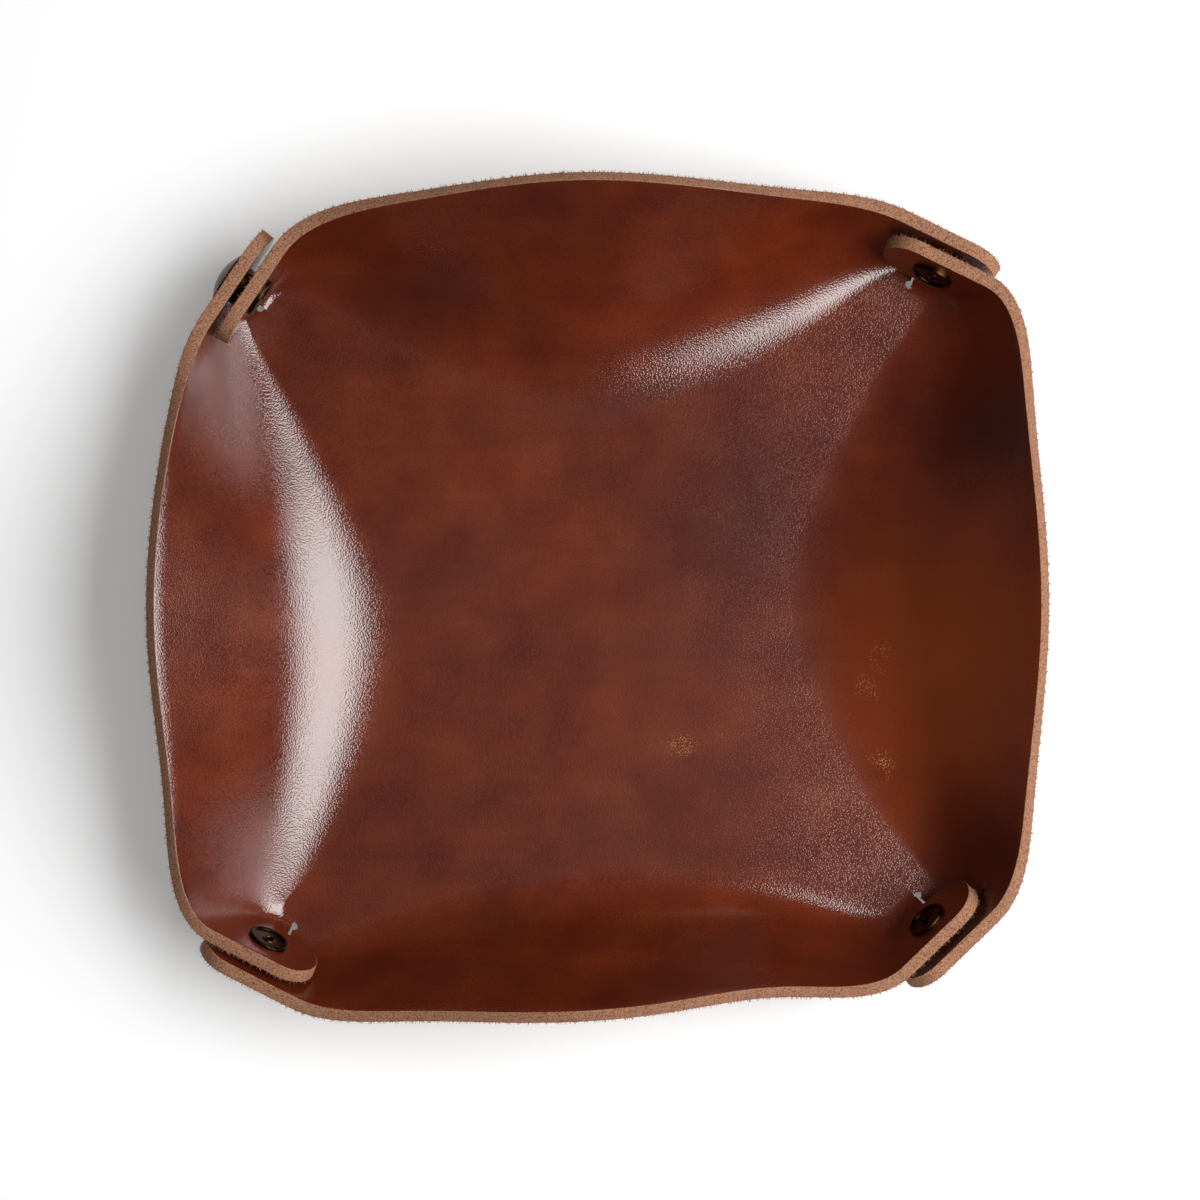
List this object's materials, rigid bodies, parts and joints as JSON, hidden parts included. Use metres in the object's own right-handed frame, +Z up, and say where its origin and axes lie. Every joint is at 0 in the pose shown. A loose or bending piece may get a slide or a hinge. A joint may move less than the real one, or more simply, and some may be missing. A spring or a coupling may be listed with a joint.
{
  "type": "valet tray",
  "caption": "Leather valet tray made from one rounded blank, whose walls are drawn up at the corners by overlapping tabs held with press studs.",
  "frame": {"origin": "middle of the tray on the underside of its floor, which rests on the table", "axes": "+X to the right and +Y to the back as the picture shows them, +Z up"},
  "size_m": [0.2158, 0.2042, 0.0394],
  "materials": {
    "leather": "waxed, glossy grain side",
    "antique_brass": "dark antique",
    "spring_wire": "bright"
  },
  "bodies": {
    "tray": {"leather_body": "leather", "snap_stud_back_left": "antique_brass", "snap_post_back_left": "antique_brass", "snap_stud_back_right": "antique_brass", "snap_post_back_right": "antique_brass", "snap_stud_front_right": "antique_brass", "snap_post_front_right": "antique_brass", "snap_stud_front_left": "antique_brass", "snap_post_front_left": "antique_brass"},
    "flap_back_left": {"corner_flap_back_left": "leather", "snap_cap_back_left": "antique_brass", "snap_socket_back_left": "antique_brass", "snap_spring_back_left": "spring_wire"},
    "flap_back_right": {"corner_flap_back_right": "leather", "snap_cap_back_right": "antique_brass", "snap_socket_back_right": "antique_brass", "snap_spring_back_right": "spring_wire"},
    "flap_front_right": {"corner_flap_front_right": "leather", "snap_cap_front_right": "antique_brass", "snap_socket_front_right": "antique_brass", "snap_spring_front_right": "spring_wire"},
    "flap_front_left": {"corner_flap_front_left": "leather", "snap_cap_front_left": "antique_brass", "snap_socket_front_left": "antique_brass", "snap_spring_front_left": "spring_wire"}
  },
  "joints": [
    {"name": "unsnap_back_left", "type": "hinge", "parent": "tray", "child": "flap_back_left", "pos_m": [-0.09257, 0.07822, 0.005], "axis": [-0.3532, -0.6136, 0.7062], "range_deg": [0, 60], "stiffness_Nm_per_rad": 0.02},
    {"name": "unsnap_back_right", "type": "hinge", "parent": "tray", "child": "flap_back_right", "pos_m": [0.08124, 0.08702, 0.005], "axis": [-0.5666, 0.4349, 0.6999], "range_deg": [0, 60], "stiffness_Nm_per_rad": 0.02},
    {"name": "unsnap_front_right", "type": "hinge", "parent": "tray", "child": "flap_front_right", "pos_m": [0.08578, -0.08062, 0.005], "axis": [0.6429, 0.3295, 0.6914], "range_deg": [0, 60], "stiffness_Nm_per_rad": 0.02},
    {"name": "unsnap_front_left", "type": "hinge", "parent": "tray", "child": "flap_front_left", "pos_m": [-0.08064, -0.08978, 0.005], "axis": [0.5209, -0.5006, 0.6914], "range_deg": [0, 60], "stiffness_Nm_per_rad": 0.02}
  ]
}
